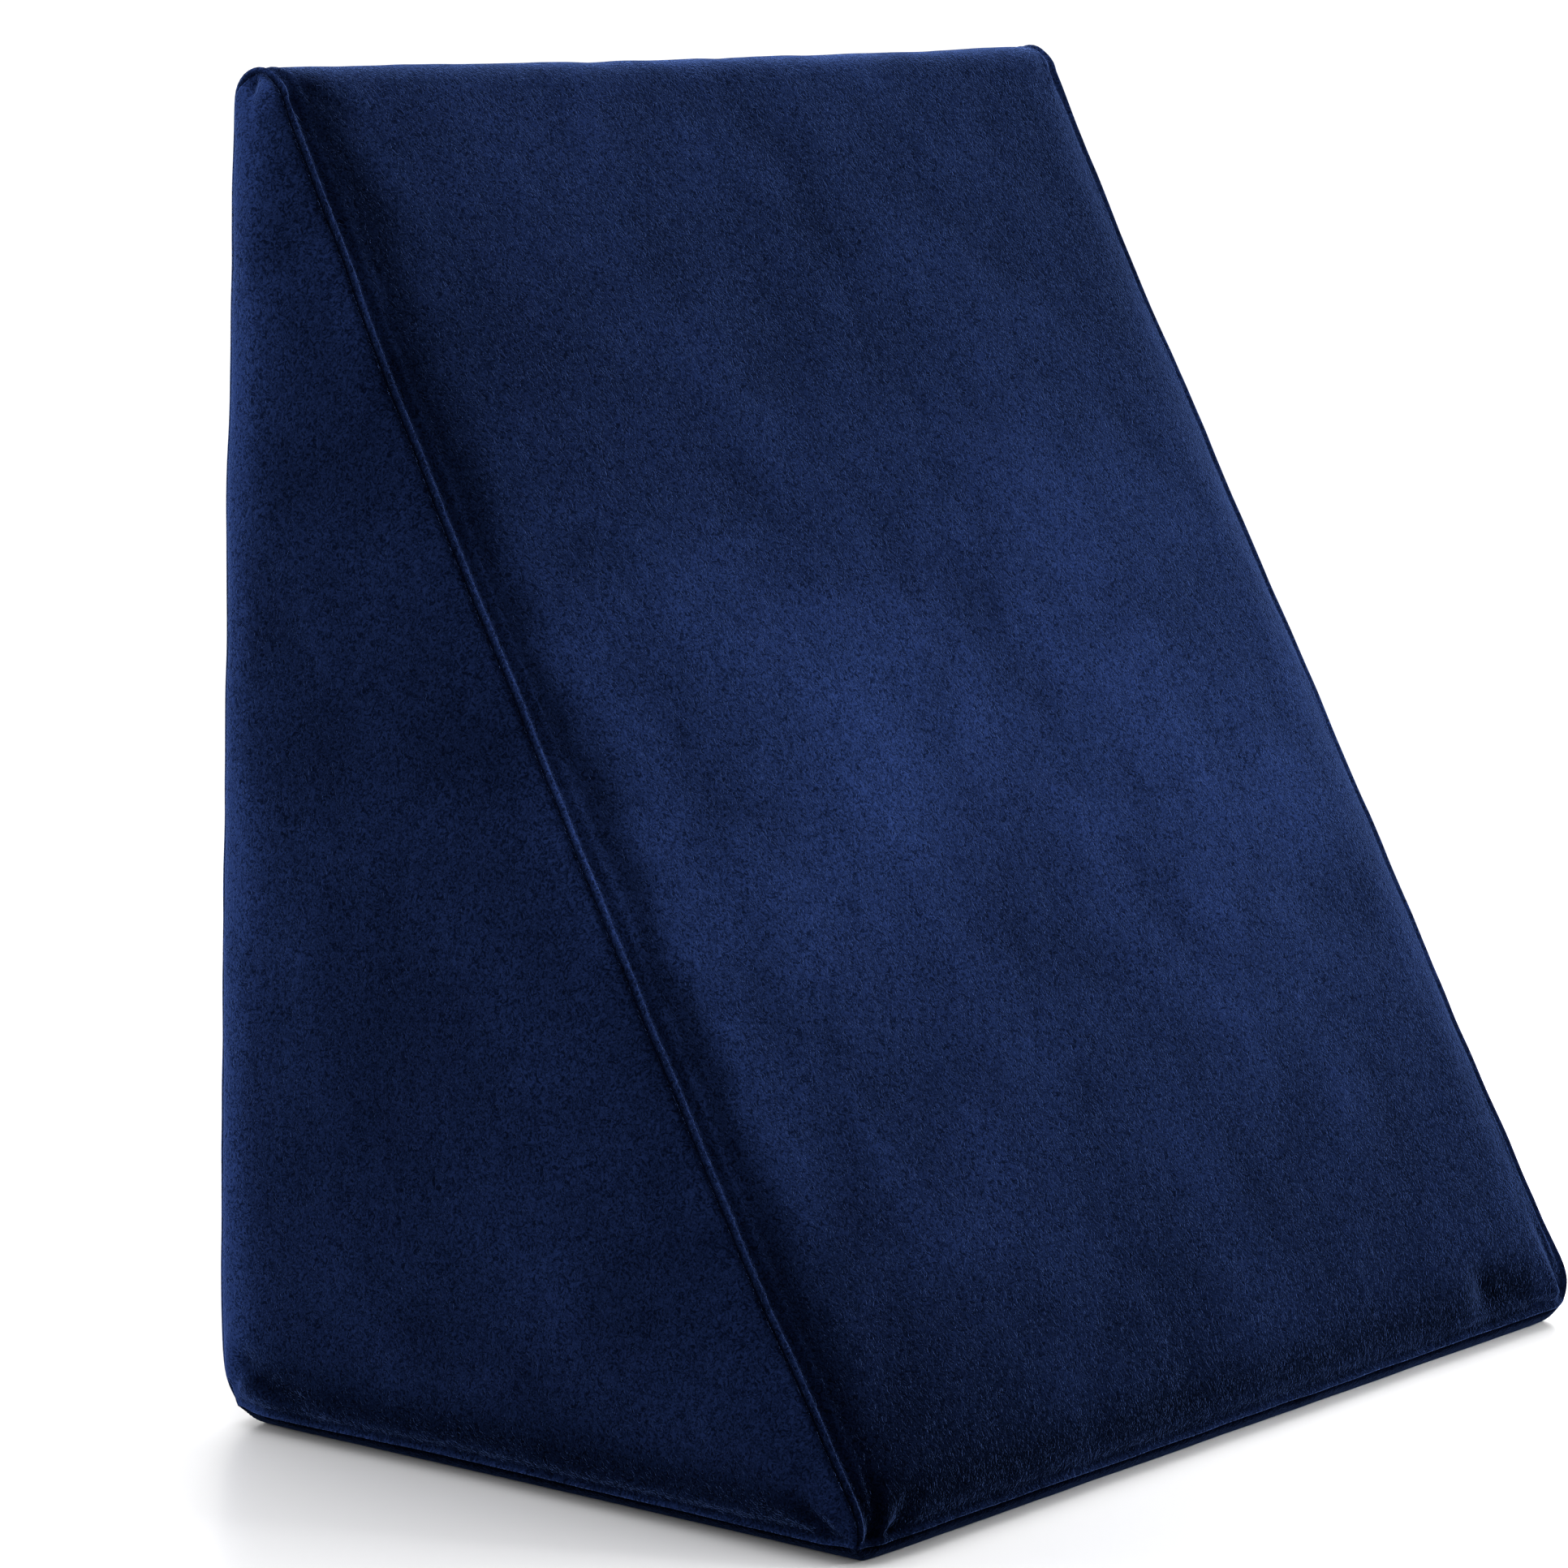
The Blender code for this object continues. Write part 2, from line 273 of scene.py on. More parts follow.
def side_panel(sign):
    """A side panel: rows beside its seams, even points inside, joined by a Delaunay mesh."""
    col = 0 if sign < 0 else nX - 1
    up = WRAP[:, col]                       # toe seam end, over the top, to the heel
    under = BOTTOM[1:-1, col][::-1]         # heel to toe
    loop = np.concatenate([up, under])
    rim = base[loop]
    line = np.vstack([rim[:, 1:], rim[:1, 1:]])
    seg = np.roll(rim[:, 1:], -1, 0) - np.roll(rim[:, 1:], 1, 0)
    inward = np.stack([seg[:, 1], -seg[:, 0]], 1)
    inward /= np.linalg.norm(inward, axis=1)[:, None]
    rows = []
    for n, d in enumerate(FINE[1:]):
        p = rim[:, 1:] + inward * d
        rows.append((p, d))
    kept = [rim[:, 1:]]
    gap_before = 0.0
    taken = {}
    cell = 0.0030

    def free(p, gap):
        cx, cy = int(p[0] // cell), int(p[1] // cell)
        for x in (cx - 1, cx, cx + 1):
            for y in (cy - 1, cy, cy + 1):
                for q in taken.get((x, y), ()):
                    if (q[0] - p[0]) ** 2 + (q[1] - p[1]) ** 2 < gap * gap:
                        return False
        return True

    def take(p):
        taken.setdefault((int(p[0] // cell), int(p[1] // cell)), []).append(p)

    for p in kept[0]:
        take(p)
    for n, (p, d) in enumerate(rows):
        dist, _ = rim_distance(p, line)
        step = d - FINE[n]
        new = []
        for q, r in zip(p, dist):
            if r > d * 0.97 and free(q, 0.62 * step):
                new.append(q)
                take(q)
        if new:
            kept.append(np.array(new))
    lo, hi = rim[:, 1:].min(0), rim[:, 1:].max(0)
    pitch = 0.0046
    ys = np.arange(lo[0], hi[0], pitch)
    zs = np.arange(lo[1], hi[1], pitch * 0.866)
    grid = np.array([(y + (pitch / 2 if m % 2 else 0), z) for m, z in enumerate(zs) for y in ys])
    dist, _ = rim_distance(grid, line)
    inside = point_in(grid, rim[:, 1:])
    grid = grid[inside & (dist > FINE[-1] + 0.0030)]
    kept.append(grid)
    flat = np.vstack(kept)
    n_rim = len(rim)
    edges = [(k, (k + 1) % n_rim) for k in range(n_rim)]
    out = geometry.delaunay_2d_cdt([Vector(p) for p in flat], edges, [], 1, 1e-9)
    co, tris, origin = out[0], out[2], out[3]
    origin = [o[0] if o else -1 for o in origin]
    pts = np.array([tuple(c) for c in co])
    inner = np.array([n for n, o in enumerate(origin) if o >= n_rim or o < 0])
    line_slope = rim[:np.searchsorted(SS, S_TOP) + 1, 1:]
    line_back = rim[np.searchsorted(SS, S_TOP):nS, 1:]
    line_low = np.vstack([rim[nS - 1:, 1:], rim[:1, 1:]])
    q = pts[inner]
    d_slope, _ = rim_distance(q, line_slope)
    d_back, _ = rim_distance(q, line_back)
    d_low, _ = rim_distance(q, line_low)
    # X of the rim, spread smoothly over the panel
    X = np.zeros(len(q))
    for part in np.array_split(np.arange(len(q)), 20):
        w = 1 / (np.linalg.norm(q[part][:, None] - rim[None, :, 1:], axis=2) ** 3 + 1e-12)
        gaps = np.linalg.norm(np.roll(rim[:, 1:], -1, 0) - np.roll(rim[:, 1:], 1, 0), axis=1)
        w = w * gaps[None]
        X[part] = (w * np.abs(rim[:, 0])[None]).sum(1) / w.sum(1)
    full = (1 - roll(d_slope, 0.030)) * (1 - roll(d_back, 0.024)) * (1 - roll(d_low, 0.026))
    X = X + SIDE_CROWN * full * 0.98
    at = add(np.stack([sign * X, q[:, 0], q[:, 1]], 1))
    ids = np.zeros(len(pts), int)
    for n, o in enumerate(origin):
        if 0 <= o < n_rim:
            ids[n] = loop[o]
    ids[inner] = at
    for t in tris:
        a, b, c = (ids[k] for k in t)
        faces.append((a, b, c) if sign > 0 else (a, c, b))
    return at, q


def point_in(points, poly):
    inside = np.zeros(len(points), bool)
    a, b = poly, np.roll(poly, -1, 0)
    for p, q in zip(a, b):
        cross = (p[1] > points[:, 1]) != (q[1] > points[:, 1])
        with np.errstate(divide="ignore", invalid="ignore"):
            x = p[0] + (points[:, 1] - p[1]) * (q[0] - p[0]) / (q[1] - p[1])
        inside ^= cross & (points[:, 0] < x)
    return inside


LEFT, left_yz = side_panel(-1)
RIGHT, right_yz = side_panel(1)
points = np.vstack(verts)

mesh = bpy.data.meshes.new("velvet_cover")
mesh.from_pydata([tuple(p) for p in points], [], [tuple(int(k) for k in f) for f in faces])
mesh.validate()
mesh.update()


def normals(co):
    mesh.vertices.foreach_set("co", co.astype(np.float32).ravel())
    mesh.update()
    out = np.zeros(len(co) * 3, np.float32)
    mesh.vertices.foreach_get("normal", out)
    return out.reshape(-1, 3).astype(float)


# ---- where each point lies beside the seams -------------------------------------
count = len(points)
panel = np.zeros(count, int)               # 0 wrap, 1 bottom, 2 left side, 3 right side
panel[BOTTOM[1:-1].ravel()] = 1
panel[LEFT] = 2
panel[RIGHT] = 3
seams = {
    "left": points[np.concatenate([WRAP[:, 0]])],
    "right": points[np.concatenate([WRAP[:, -1]])],
    "toe": points[WRAP[0]],
    "heel": points[WRAP[-1]],
    "left_low": points[BOTTOM[:, 0]],
    "right_low": points[BOTTOM[:, -1]],
}


def seam_distance(co, line):
    """Distance in space from each point to a seam, in chunks, using the nearest of its segments."""
    a, b = line[:-1], line[1:]
    ab = b - a
    ll = (ab * ab).sum(1)
    best = np.full(len(co), 9.0)
    for part in np.array_split(np.arange(len(co)), max(1, len(co) // 1500)):
        rel = co[part][:, None] - a[None]
        t = np.clip((rel * ab[None]).sum(2) / ll[None], 0, 1)
        best[part] = np.linalg.norm(rel - t[..., None] * ab[None], axis=2).min(1)
    return best


near = {}
for name, line in seams.items():
    lo, hi = line.min(0) - 0.03, line.max(0) + 0.03
    close = np.all((points > lo) & (points < hi), axis=1)
    d = np.full(count, 9.0)
    d[close] = seam_distance(points[close], line[:: 1])
    near[name] = d

# The bottom corners are rounded, as filled corners are.
CORNER_PULL = (
    # corner  X in     Y in     Z up     reach
    ("toe", 0.0008, 0.0010, 0.0002, 0.010),
    ("heel", 0.0026, 0.0030, 0.0010, 0.013),
)
for where, in_x, in_y, up_z, wide in CORNER_PULL:
    for hand in (-1, 1):
        tip = points[WRAP[0 if where == "toe" else -1, 0 if hand < 0 else -1]].copy()
        pull = np.exp(-(np.linalg.norm(points - tip, axis=1) / wide) ** 1.5)
        points[:, 0] -= hand * in_x * pull
        points[:, 1] += (1 if where == "toe" else -1) * in_y * pull
        points[:, 2] += up_z * pull * np.clip(points[:, 2] / 0.004, 0, 1)
tips = np.array([points[WRAP[r, c]] for r in (0, -1) for c in (0, -1)])
tip_gap = np.min(np.linalg.norm(points[:, None] - tips[None], axis=2), axis=1)
n_macro = normals(points)
seam_gap = np.minimum.reduce(list(near.values()))
off_floor = np.clip((points[:, 2] - 0.001) / 0.012, 0, 1)


# ---- the filling presses the cloth out ---------------------------------------------
def pressed_out(voxel=0.006, most=0.0026):
    """How far each point moves when the cover, held at its seams and base, is blown up a little."""
    shape = bpy.data.objects.new("pressed", mesh.copy())
    scene = bpy.context.scene
    scene.collection.objects.link(shape)
    grid = shape.modifiers.new("grid", "REMESH")
    grid.mode = "VOXEL"
    grid.voxel_size = voxel
    bpy.context.view_layer.update()
    even = bpy.data.meshes.new_from_object(shape.evaluated_get(bpy.context.evaluated_depsgraph_get()))
    shape.modifiers.clear()
    shape.data = even
    n = len(even.vertices)
    start = np.zeros(n * 3, np.float32)
    even.vertices.foreach_get("co", start)
    start = start.reshape(-1, 3).astype(float)
    gap = np.full(n, 9.0)
    for line in seams.values():
        near_line = np.all((start > line.min(0) - 0.01) & (start < line.max(0) + 0.01), axis=1)
        gap[near_line] = np.minimum(gap[near_line], seam_distance(start[near_line], line[::3]))
    held = shape.vertex_groups.new(name="held")
    held.add([int(k) for k in np.nonzero((gap < 0.006) | (start[:, 2] < 0.003))[0]], 1.0, "REPLACE")
    cloth = shape.modifiers.new("cloth", "CLOTH")
    s = cloth.settings
    s.quality = 4
    s.mass = 0.35
    s.tension_stiffness = s.compression_stiffness = 25
    s.shear_stiffness = 12
    s.bending_stiffness = 1.5
    s.use_pressure = True
    s.uniform_pressure_force = 4
    s.effector_weights.gravity = 0
    s.vertex_group_mass = "held"
    s.pin_stiffness = 1.0
    cloth.collision_settings.use_collision = False
    cloth.point_cache.frame_start, cloth.point_cache.frame_end = 1, 20
    for frame_number in range(1, 21):
        scene.frame_set(frame_number)
    done = bpy.data.meshes.new_from_object(shape.evaluated_get(bpy.context.evaluated_depsgraph_get()))
    end = np.zeros(n * 3, np.float32)
    done.vertices.foreach_get("co", end)
    moved = end.reshape(-1, 3).astype(float) - start
    bpy.data.objects.remove(shape)
    scene.frame_set(1)
    far = np.linalg.norm(moved, axis=1)
    print("pressed out by up to", round(float(far.max()) * 1000, 2), "mm on", n, "points")
    if not np.isfinite(far).all() or far.max() < 1e-5:
        return np.zeros((count, 3))
    moved *= min(1.0, most / float(np.percentile(far, 99.5)))
    far = np.linalg.norm(moved, axis=1)
    moved *= np.minimum(1.0, most / np.maximum(far, 1e-9))[:, None]
    tree = kdtree.KDTree(n)
    for k, p in enumerate(start):
        tree.insert(p, k)
    tree.balance()
    out = np.zeros((count, 3))
    for k, p in enumerate(points):
        hits = tree.find_n(p, 5)
        w = [1.0 / (h[2] + 0.0015) ** 2 for h in hits]
        out[k] = sum(wk * moved[h[1]] for wk, h in zip(w, hits)) / sum(w)
    return out * (off_floor * np.clip(seam_gap / 0.008, 0, 1))[:, None]


points = points + pressed_out()
n_macro = normals(points)

# ---- seam relief -----------------------------------------------------------------
over = np.minimum(near["left"], near["right"])
ends = np.minimum(near["toe"], near["heel"])
low = np.minimum(near["left_low"], near["right_low"])
rise = np.zeros(count)
w = panel == 0
rise[w] = pchip(over[w], FOLD_OVER)
along_end = pchip(ends[w], FOLD_OVER)
rise[w] = np.where(np.abs(along_end) > np.abs(rise[w]), along_end, rise[w])
for p in (2, 3):
    m = panel == p
    a, b = pchip(over[m], TUCK_IN), pchip(low[m], FOLD_OVER)
    rise[m] = np.where(low[m] < over[m], b, a)
m = panel == 1
rise[m] = pchip(np.minimum(ends[m], low[m]), TUCK_IN)
seam_points = np.minimum(np.minimum(over, ends), low) < 1e-7
rise[seam_points] = -0.0022

# The edge of the seam allowance prints through in places and fades out in others.
patch = waves(points, 0.045, 5, 1)
second = np.exp(-((over - 0.0078) / 0.0012) ** 2) * (panel == 0)
rise += second * 0.0003 * np.clip(patch * 2.2, -1.0, 1.4)

rise *= 1 - 0.92 * np.exp(-(tip_gap / 0.007) ** 2)

# ---- soft unevenness of the filled cloth ------------------------------------------
soft = 1 - roll(seam_gap, 0.030, 2.0)
dents = (0.0007 * waves(points, 0.085, 1) + 0.00035 * waves(points, 0.034, 2)) * (0.35 + 0.65 * soft)
tight = np.exp(-seam_gap / 0.012)
dents += 0.00022 * waves(points, 0.0125, 3, 1) * tight * np.clip(seam_gap / 0.002, 0, 1)
rise += dents * off_floor

# The seams themselves run a little unevenly.
wander = np.stack([waves(points, 0.055, 7 + k, 1) for k in range(3)], -1) * 0.0010 * np.exp(-seam_gap / 0.02)[:, None]
wander += np.stack([waves(points, 0.022, 17 + k, 1) for k in range(3)], -1) * 0.0004 * np.exp(-seam_gap / 0.012)[:, None]
wander[:, 2] *= off_floor
wander[:, 0] *= off_floor

# ---- gathers at the corners ---------------------------------------------------------
# Each runs from a corner seam into its panel: where it starts and ends (Y, Z on a side
# panel; X from the side seam and length S from the toe on the wrap), how deep, how wide.
GATHERS = (
    # panel   from (a, b)        to (a, b)         depth    width   side
    ("side", (0.1400, 0.4950), (0.1370, 0.4860), 0.0034, 0.0036, 0),
    ("side", (0.1460, 0.4920), (0.1450, 0.4800), -0.0010, 0.0030, 0),
    ("side", (0.1320, 0.4950), (0.1310, 0.4860), -0.0016, 0.0034, 0),
    ("side", (0.1270, 0.4880), (0.1250, 0.4760), 0.0012, 0.0034, 0),
    ("side", (0.1340, 0.0270), (0.1080, 0.0150), 0.0030, 0.0065, 0),
    ("side", (0.1400, 0.0160), (0.1290, 0.0300), 0.0018, 0.0034, 0),
    ("side", (0.1420, 0.0180), (0.1360, 0.0440), -0.0010, 0.0040, 0),
    ("side", (-0.1330, 0.0130), (-0.1180, 0.0240), 0.0020, 0.0038, 0),
    ("side", (-0.1220, 0.0110), (-0.1040, 0.0140), 0.0010, 0.0035, 0),
    ("wrap", (0.0060, 0.0040), (0.0100, 0.0260), 0.0026, 0.0034, -1),
    ("wrap", (0.0105, 0.0035), (0.0150, 0.0180), -0.0014, 0.0026, -1),
    ("wrap", (0.0170, 0.0045), (0.0330, 0.0180), 0.0022, 0.0042, -1),
    ("wrap", (0.0640, 0.0170), (0.0420, 0.0120), 0.0038, 0.0125, 1),
    ("wrap", (0.0070, 0.0080), (0.0120, 0.0360), 0.0026, 0.0045, 1),
    ("wrap", (0.0120, 0.0060), (0.0200, 0.0230), -0.0014, 0.0030, 1),
    ("wrap", (0.0280, 0.0050), (0.0480, 0.0120), 0.0012, 0.0040, 1),
    ("wrap", (0.0030, 0.5560), (0.0080, 0.5420), 0.0014, 0.0040, 0),
    ("wrap", (0.0090, 0.5590), (0.0200, 0.5500), 0.0010, 0.0045, 0),
)
flat_s = np.zeros(count)
flat_s[WRAP.ravel()] = gs.ravel()
flat_d = np.zeros(count)
flat_d[WRAP.ravel()] = side_d.ravel()
hand = np.where(points[:, 0] < 0, -1, 1)
gather_shading = np.ones(count)      # painted shade in the gathers and painted highlight on the folds between them
for where, start, end, deep, wide, one in GATHERS:
    m = (panel == 0) if where == "wrap" else (panel >= 2)
    if one:
        m = m & (hand == one)
    at = np.stack([flat_d[m], flat_s[m]] if where == "wrap" else [points[m, 1], points[m, 2]], -1)
    a, b = np.array(start), np.array(end)
    t = np.clip(((at - a) @ (b - a)) / ((b - a) @ (b - a)), 0, 1)
    gap = np.linalg.norm(at - a - t[:, None] * (b - a), axis=1)
    gather_shading[m] *= np.clip(1 - 190 * deep * np.exp(-(gap / wide) ** 2 * 1.3) * (1 - 0.8 * t), 0.35, 1.6)
    rise[m] -= deep * np.exp(-(gap / wide) ** 2 * 1.6) * (1 - 0.65 * t) * np.clip(seam_gap[m] / 0.0022, 0, 1)

co = points + wander + n_macro * rise[:, None]
co[:, 1] += SHIFT_Y
co[:, 2] = np.maximum(co[:, 2], 0.0)

final = co

# ---- painted light and shade on the pile, with some random tone: lighter or darker than its surroundings ---
tone = np.ones(count)
edge = 1 + 0.35 * waves(points, 0.016, 11, 1) + 0.35 * waves(points, 0.05, 12, 1)
# Painted highlight on the seam folds and painted shade in the grooves and in a band beside them.
m = panel == 0
tone[m] = pchip(over[m] / np.where(over[m] > 0.009, edge[m], 1.0), FOLD_SHADING)
low_tone = pchip(ends[m], FOLD_SHADING)
tone[m] = np.where(over[m] < ends[m], tone[m] * np.clip(low_tone, 0.7, 1.0), low_tone * np.clip(tone[m], 0.7, 1.0))
for p in (2, 3):
    m = panel == p
    tone[m] = np.where(low[m] < over[m], pchip(low[m], FOLD_SHADING), pchip(over[m], TUCK_SHADING))
m = panel == 1
# Painted shade: the underside panel is painted much darker, standing in for the shade under the pillow.
tone[m] = 0.16 * pchip(np.minimum(ends[m], low[m]), TUCK_SHADING)
# Painted shade in the groove along the seam line itself.
tone[seam_points] = 0.40
tone *= gather_shading
# Painted highlight: on the left side panel the pile is painted lighter beside the back seam, where the back and the
# top turn, standing in for the sheen along the outline.
back_gap = np.where(panel >= 2, seam_distance(points, points[WRAP[SS > S_TOP + 0.01, 0]] * (1, 1, 1)), 9.0)
back_gap[RIGHT] = seam_distance(points[RIGHT], points[WRAP[SS > S_TOP + 0.01, -1]])
tone *= 1 + np.where(panel == 3, 0.0, 3.0) * np.exp(-(back_gap / 0.016) ** 2)
# Painted highlight: the right side panel is painted lighter beside the slope's seam, so its outline doesn't go dark
# where it is unlit.
m = (panel == 3) & (points[:, 2] > 0.01)
tone[m] = np.maximum(tone[m], 0.85) * (1 + 1.6 * np.exp(-(near["right"][m] / 0.012) ** 2))
# Painted highlight: on the right-hand side the seam's groove on the wrap panel is painted lighter.
m = (panel == 0) & (hand == 1)
tone[m] = np.where(over[m] < 0.003, np.maximum(tone[m], 1.1), tone[m])
# On the right-hand side the painted shade band beside the seam is lifted back towards plain tone.
right_band_lift = np.where((panel == 0) & (over > 0.003) & (over < 0.03), np.clip((hand + 1) / 2, 0, 1), 0.0)
tone += right_band_lift * np.clip(1.08 - tone, 0, 1)
tone *= 1 + 0.22 * np.clip(patch, -1, 1) * np.exp(-seam_gap / 0.010)
# Painted highlight and shade: away from the seams the pile is painted lighter where the cloth rises and darker in its
# dents.
tone *= 1 + 120 * np.clip(rise - np.where(seam_gap < 0.012, rise, 0.0), -0.002, 0.002)
# Painted light and shade on the slope, along it from toe to top and across it: darker towards the toe and just below
# the top, lighter below the middle and on the top roll.
SLOPE_SHADING_UP = (
    # length from the toe, tone
    (0.00, 0.34), (0.03, 0.41), (0.08, 0.56), (0.14, 0.78), (0.20, 0.95), (0.27, 1.08), (0.34, 0.96), (0.42, 0.80), (0.52, 0.70), (0.560, 0.80), (0.575, 1.20), (0.60, 1.2),
)
SLOPE_SHADING_ACROSS = (
    # X, tone
    (-0.25, 1.0), (-0.12, 1.10), (0.0, 1.0), (0.12, 1.0), (0.25, 0.84),
)
# Low down, painted lighter towards the left and painted darker towards the right.
LOW_SHADING_ACROSS = (
    # X, tone
    (-0.25, 1.0), (-0.15, 1.22), (-0.02, 1.10), (0.12, 0.92), (0.25, 0.72),
)
# High up, the slope is painted darker, most on the right-hand half.
HIGH_SHADING_ACROSS = (
    # X, tone
    (-0.25, 0.84), (-0.10, 0.88), (0.0, 0.84), (0.12, 0.70), (0.25, 0.72),
)
m = (panel == 0) & (flat_s < S_TOP + 0.02)
tone[m] *= 1 + (pchip(points[m, 0], HIGH_SHADING_ACROSS) - 1) * np.exp(-((flat_s[m] - 0.45) / 0.10) ** 2)
tone[m] *= pchip(flat_s[m] + 0.02 * edge[m] - 0.02, SLOPE_SHADING_UP) * pchip(points[m, 0], SLOPE_SHADING_ACROSS)
down = np.exp(-((flat_s[m] - 0.10) / 0.07) ** 2)
tone[m] *= 1 + (pchip(points[m, 0], LOW_SHADING_ACROSS) - 1) * down
# The nap attribute carries the random tone and the painted light and shade above into the velvet's colour.
nap = mesh.attributes.new("nap", "FLOAT", "POINT")
nap.data.foreach_set("value", tone.astype(np.float32))
mesh.vertices.foreach_set("co", final.astype(np.float32).ravel())
mesh.update()
mesh.shade_smooth()
cover = bpy.data.objects.new("velvet_cover", mesh)
bpy.context.scene.collection.objects.link(cover)


PILE = (0.0034, 0.0069, 0.0248)     # colour deep in the pile


# ---- velvet ----------------------------------------------------------------------
def velvet(name, sheen):
    """Short cut pile: dark in the nap, blue sheen where the fibres are seen side on."""
    mat = bpy.data.materials.new(name)
    mat.use_nodes = True
    nt = mat.node_tree
    nodes, links = nt.nodes, nt.links
    shader = nodes["Principled BSDF"]
    shader.inputs["Roughness"].default_value = 0.9
    shader.inputs["Specular IOR Level"].default_value = 0.0
    shader.inputs["Sheen Weight"].default_value = sheen
    shader.inputs["Sheen Roughness"].default_value = 0.27
    shader.inputs["Sheen Tint"].default_value = (0.11, 0.19, 0.50, 1)
    coord = nodes.new("ShaderNodeTexCoord")

    def noisy(scale, detail, rough, twist, stretch=(1, 1, 1)):
        move = nodes.new("ShaderNodeMapping")
        move.inputs["Scale"].default_value = stretch
        links.new(coord.outputs["Object"], move.inputs["Vector"])
        n = nodes.new("ShaderNodeTexNoise")
        n.inputs["Scale"].default_value = scale
        n.inputs["Detail"].default_value = detail
        n.inputs["Roughness"].default_value = rough
        n.inputs["Distortion"].default_value = twist
        links.new(move.outputs["Vector"], n.inputs["Vector"])
        return n.outputs["Fac"]

    def ramp(value, low, high, to_low, to_high):
        r = nodes.new("ShaderNodeMapRange")
        r.inputs["From Min"].default_value = low
        r.inputs["From Max"].default_value = high
        r.inputs["To Min"].default_value = to_low
        r.inputs["To Max"].default_value = to_high
        links.new(value, r.inputs["Value"])
        return r.outputs["Result"]

    def maths(kind, a, b):
        m = nodes.new("ShaderNodeMath")
        m.operation = kind
        for socket, v in zip(m.inputs, (a, b)):
            if isinstance(v, float):
                socket.default_value = v
            else:
                links.new(v, socket)
        return m.outputs["Value"]

    # Painted light and shade: the colour is scaled by the nap attribute, which holds them along with random tone.
    nap_and_shade = nodes.new("ShaderNodeAttribute")
    nap_and_shade.attribute_name = "nap"
    broad = noisy(7.0, 2, 0.5, 0.2)
    brushed = noisy(21.0, 3, 0.55, 0.3, (1, 1, 0.75))
    worm = noisy(520.0, 1, 0.5, 2.2)
    grain = noisy(1100.0, 1, 0.5, 0.0)
    tone = maths("MULTIPLY", ramp(broad, 0.3, 0.7, 0.76, 1.24), ramp(brushed, 0.3, 0.7, 0.72, 1.28))
    tone = maths("MULTIPLY", tone, ramp(worm, 0.34, 0.66, 0.35, 1.65))
    tone = maths("MULTIPLY", tone, ramp(grain, 0.3, 0.7, 0.88, 1.12))
    tone = maths("MULTIPLY", tone, nap_and_shade.outputs["Fac"])
    color = nodes.new("ShaderNodeMix")
    color.data_type = "RGBA"
    color.inputs[6].default_value = (0, 0, 0, 1)
    color.inputs[7].default_value = tuple(4 * c for c in PILE) + (1,)
    links.new(maths("MULTIPLY", tone, 0.25), color.inputs[0])
    links.new(color.outputs[2], shader.inputs["Base Color"])

    nap = nodes.new("ShaderNodeBump")
    nap.inputs["Strength"].default_value = 0.5
    nap.inputs["Distance"].default_value = 0.0025
    links.new(brushed, nap.inputs["Height"])
    pile = nodes.new("ShaderNodeBump")
    pile.inputs["Strength"].default_value = 0.9
    pile.inputs["Distance"].default_value = 0.0006
    links.new(worm, pile.inputs["Height"])
    links.new(nap.outputs["Normal"], pile.inputs["Normal"])
    links.new(pile.outputs["Normal"], shader.inputs["Normal"])
    return mat


mesh.materials.append(velvet("navy_velvet_pile", 0.78))
# Under the pillow the pile is pressed flat, and this copy of the velvet has little sheen, which also stands in for
# the shade there.
mesh.materials.append(velvet("navy_velvet_pressed_shaded", 0.16))
for face in mesh.polygons:
    if any(panel[v] == 1 for v in face.vertices):
        face.material_index = 1
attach(cover, "root")
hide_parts("wedge_pillow")


# ---- floor, light, camera ----------------------------------------------------------
def plain(name, color, rough):
    mat = bpy.data.materials.new(name)
    mat.use_nodes = True
    s = mat.node_tree.nodes["Principled BSDF"]
    s.inputs["Base Color"].default_value = (*color, 1)
    s.inputs["Roughness"].default_value = rough
    return mat


bpy.ops.mesh.primitive_plane_add(size=1.9, location=(0, 0, 0))
floor = bpy.context.object
floor.name = "floor"
floor.data.materials.append(plain("pale_floor", (0.64, 0.64, 0.65), 0.30))

world = bpy.data.worlds.new("studio")
bpy.context.scene.world = world
world.use_nodes = True
sky = world.node_tree
sky.nodes["Background"].inputs["Color"].default_value = (1, 1, 1, 1)
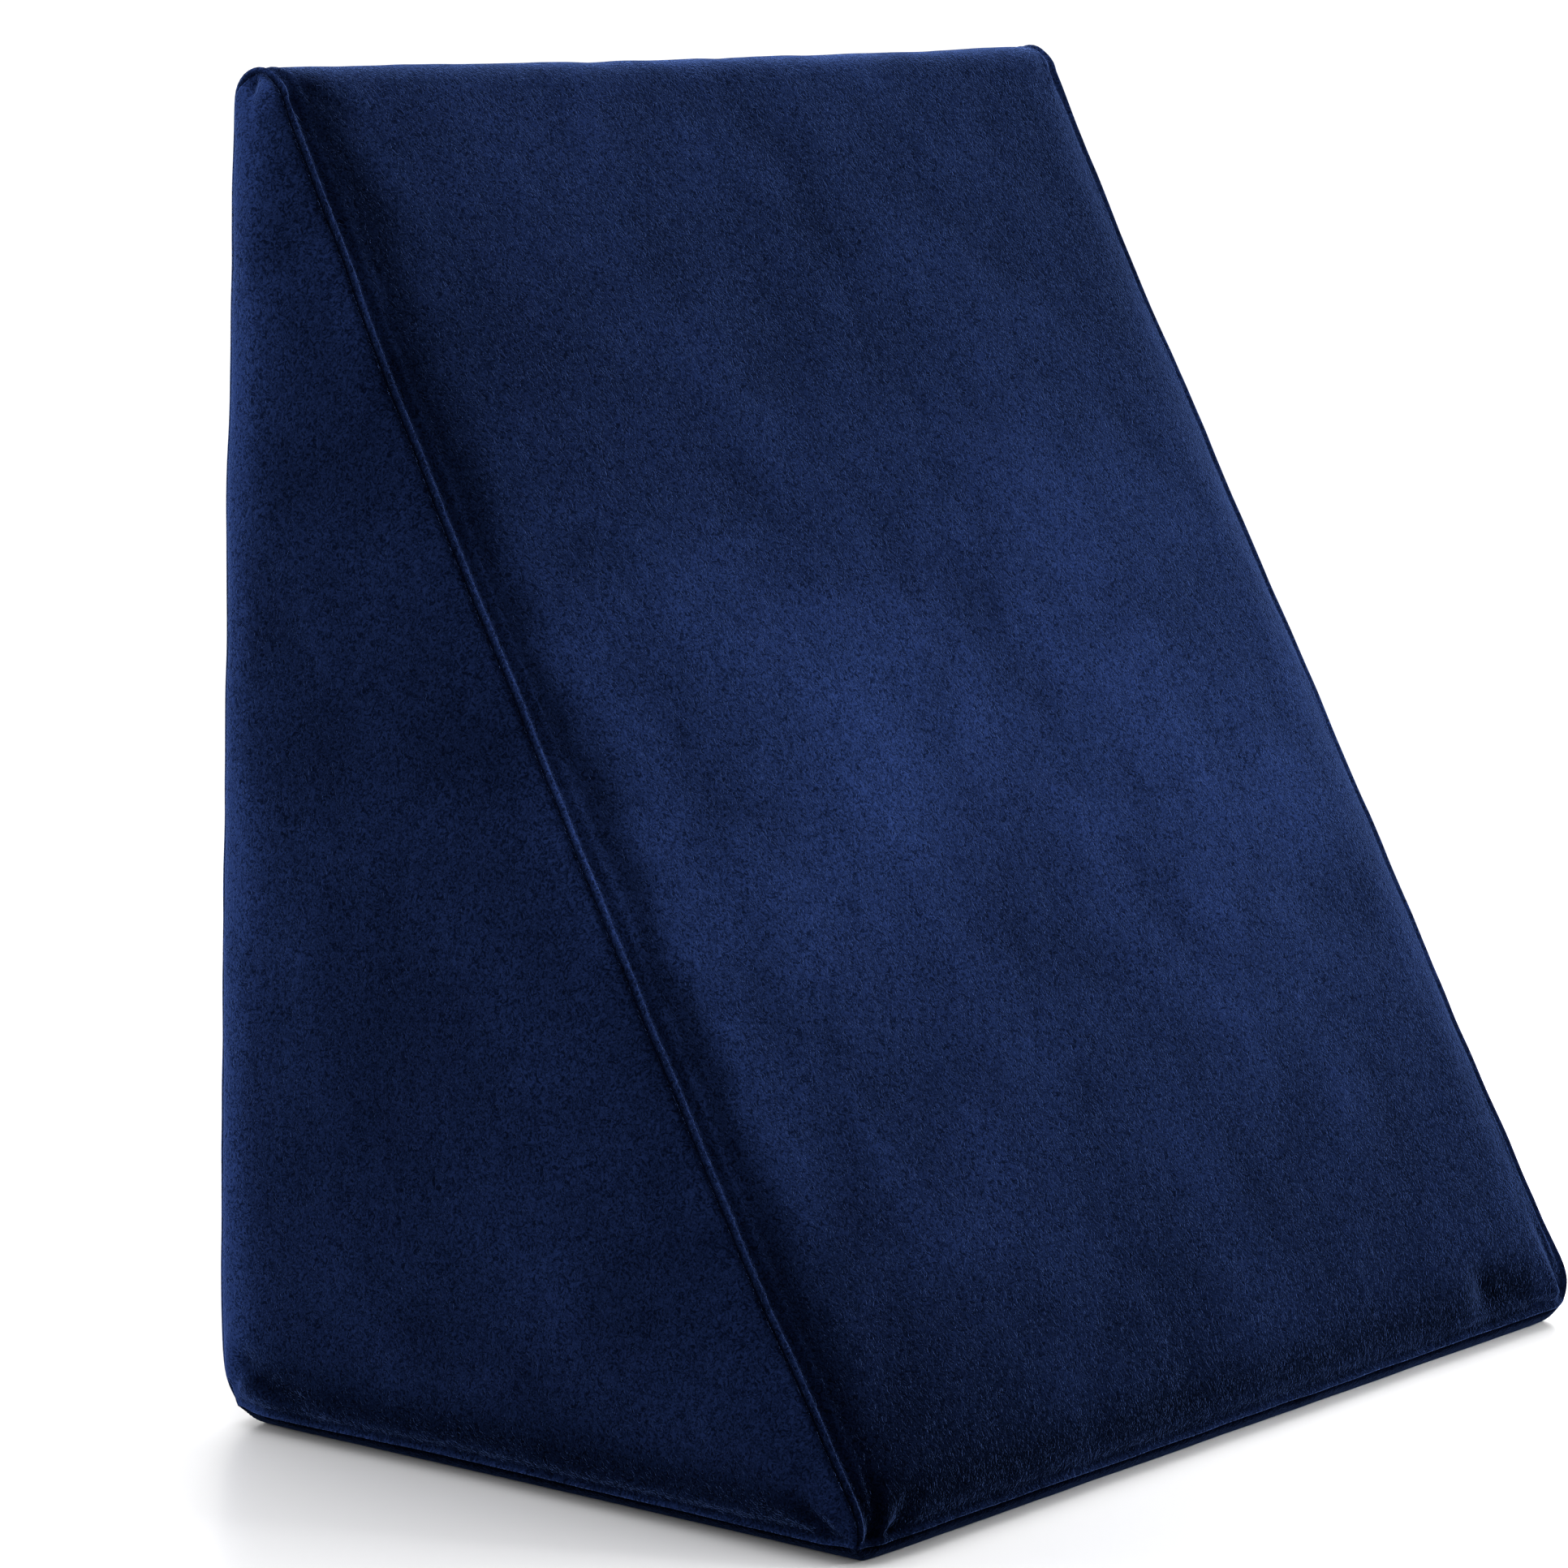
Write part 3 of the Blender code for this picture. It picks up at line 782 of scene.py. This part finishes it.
# A white backdrop on the far side, and a dimmer room in front.
away = sky.nodes.new("ShaderNodeTexCoord")
facing = sky.nodes.new("ShaderNodeVectorMath")
facing.operation = "DOT_PRODUCT"
facing.inputs[1].default_value = (0.79, 0.60, 0.12)
fall = sky.nodes.new("ShaderNodeMapRange")
fall.interpolation_type = "SMOOTHSTEP"
for socket, value in (("From Min", -0.6), ("From Max", 0.75), ("To Min", 1.03), ("To Max", 1.12)):
    fall.inputs[socket].default_value = value
sky.links.new(away.outputs["Generated"], facing.inputs[0])
sky.links.new(facing.outputs["Value"], fall.inputs["Value"])
sky.links.new(fall.outputs["Result"], sky.nodes["Background"].inputs["Strength"])
bpy.context.scene.view_settings.view_transform = "Standard"


def area(name, at, target, size, power, spread=180.0, color=(1, 1, 1)):
    data = bpy.data.lights.new(name, "AREA")
    data.shape = "RECTANGLE"
    data.size, data.size_y = size
    data.energy = power
    data.spread = math.radians(spread)
    data.color = color
    lamp = bpy.data.objects.new(name, data)
    lamp.location = at
    lamp.rotation_euler = (Vector(target) - Vector(at)).to_track_quat("-Z", "Y").to_euler()
    bpy.context.scene.collection.objects.link(lamp)
    return lamp


area("overhead", (0.1, 0.2, 2.4), (0, 0, 0), (2.4, 2.4), 60)
area("back_left", (-1.3, 1.3, 0.7), (-0.1, 0, 0.25), (1.0, 1.0), 9)
area("back_right", (1.5, 0.9, 0.9), (0.1, 0, 0.3), (1.0, 1.0), 14)
area("front_right", (0.30, -0.78, 0.50), (0.12, -0.02, 0.29), (0.30, 0.30), 2.4, 70.0)

# The camera stands where the outline and seams of the photographed pillow line up.
AZ, EL, ROLL = math.radians(-53.1811), math.radians(8.9685), math.radians(1.4283)
EYE = Vector((-1.9027, -1.3480 + SHIFT_Y, 0.5960))
FOCAL = 7606 / 1932 * 36.0
back = Vector((math.sin(AZ) * math.cos(EL), -math.cos(AZ) * math.cos(EL), math.sin(EL)))
right = (-back).cross(Vector((0, 0, 1))).normalized()
up = right.cross(-back)
r2 = math.cos(ROLL) * right + math.sin(ROLL) * up
u2 = -math.sin(ROLL) * right + math.cos(ROLL) * up
camera_data = bpy.data.cameras.new("camera")
camera_data.lens = FOCAL
camera_data.sensor_width = 36.0
camera_data.clip_start, camera_data.clip_end = 0.01, 50
camera = bpy.data.objects.new("camera", camera_data)
camera.matrix_world = Matrix.Translation(EYE) @ Matrix((r2, u2, back)).transposed().to_4x4()
bpy.context.scene.collection.objects.link(camera)
bpy.context.scene.camera = camera

print("cover", len(mesh.vertices), "verts", sum(len(p.vertices) - 2 for p in mesh.polygons), "triangles")
